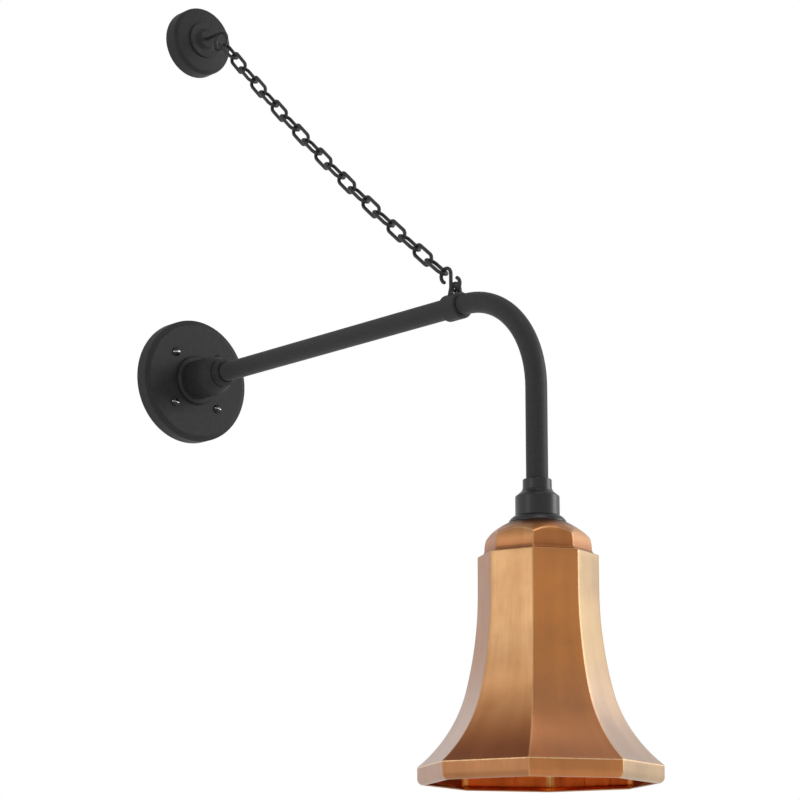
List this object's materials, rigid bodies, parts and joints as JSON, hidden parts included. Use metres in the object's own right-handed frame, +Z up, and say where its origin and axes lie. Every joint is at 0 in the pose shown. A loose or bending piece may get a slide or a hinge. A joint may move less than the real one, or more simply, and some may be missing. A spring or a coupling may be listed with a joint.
{
  "type": "wall light",
  "caption": "Wall light with a bent tube arm on a round plate, stayed by a chain from a small wall canopy, with an octagonal bell shade hanging from the arm's end.",
  "frame": {"origin": "centre of the wall plate, on the wall", "axes": "+Y into the wall, so the arm runs out along -Y; +Z up; +X to the right for someone who faces the wall"},
  "size_m": [0.2504, 0.7496, 1.0019],
  "materials": {
    "black_casting": "satin",
    "black_tube": "satin",
    "black_chain": "satin",
    "black_screw": "satin",
    "zinc_steel": "satin",
    "copper": "satin",
    "porcelain": "gloss",
    "brass": "satin",
    "nickel_cap": "satin",
    "bulb_glass": "gloss"
  },
  "bodies": {
    "frame": {"backplate": "black_casting", "hub_bead_ring": "black_casting", "hub_socket": "black_casting", "hub_compression_ring": "black_casting", "chain_collar": "black_casting", "collar_eye": "black_casting", "chain_canopy": "black_casting", "canopy_cap": "black_casting", "fitter_nut": "black_casting", "fitter_cup": "black_casting", "fitter_flange": "black_casting", "arm_tube": "black_tube", "canopy_ring_eye": "black_chain", "backplate_screws": "black_screw", "collar_set_screw": "black_screw", "mounting_plate": "zinc_steel", "hub_locknut": "zinc_steel", "canopy_crossbar": "zinc_steel", "ring_eye_nut": "zinc_steel", "tube_bushing": "zinc_steel", "threaded_nipple": "zinc_steel", "shade_body": "copper", "shade_crown": "copper", "lampholder_body": "porcelain", "lampholder_screw_shell": "brass", "lampholder_contact": "brass", "shade_ring_nut": "brass"},
    "chain": {"chain_link_01": "black_chain", "chain_link_02": "black_chain", "chain_link_03": "black_chain", "chain_link_04": "black_chain", "chain_link_05": "black_chain", "chain_link_06": "black_chain", "chain_link_07": "black_chain", "chain_link_08": "black_chain", "chain_link_09": "black_chain", "chain_link_10": "black_chain", "chain_link_11": "black_chain", "chain_link_12": "black_chain", "chain_link_13": "black_chain", "chain_link_14": "black_chain", "chain_link_15": "black_chain", "chain_link_16": "black_chain", "chain_link_17": "black_chain", "chain_link_18": "black_chain", "chain_link_19": "black_chain", "s_hook": "black_chain"},
    "bulb": {"bulb_glass": "bulb_glass", "bulb_screw_cap": "nickel_cap", "bulb_contact": "brass"}
  },
  "joints": [
    {"name": "chain_sway", "type": "hinge", "parent": "frame", "child": "chain", "pos_m": [0, -0.06418, 0.41962], "axis": [0, -0.7362, -0.6767], "range_deg": [-12, 12]},
    {"name": "bulb_out", "type": "slide", "parent": "frame", "child": "bulb", "axis": [0, 0, -1], "range_m": [0, 0.026]}
  ]
}
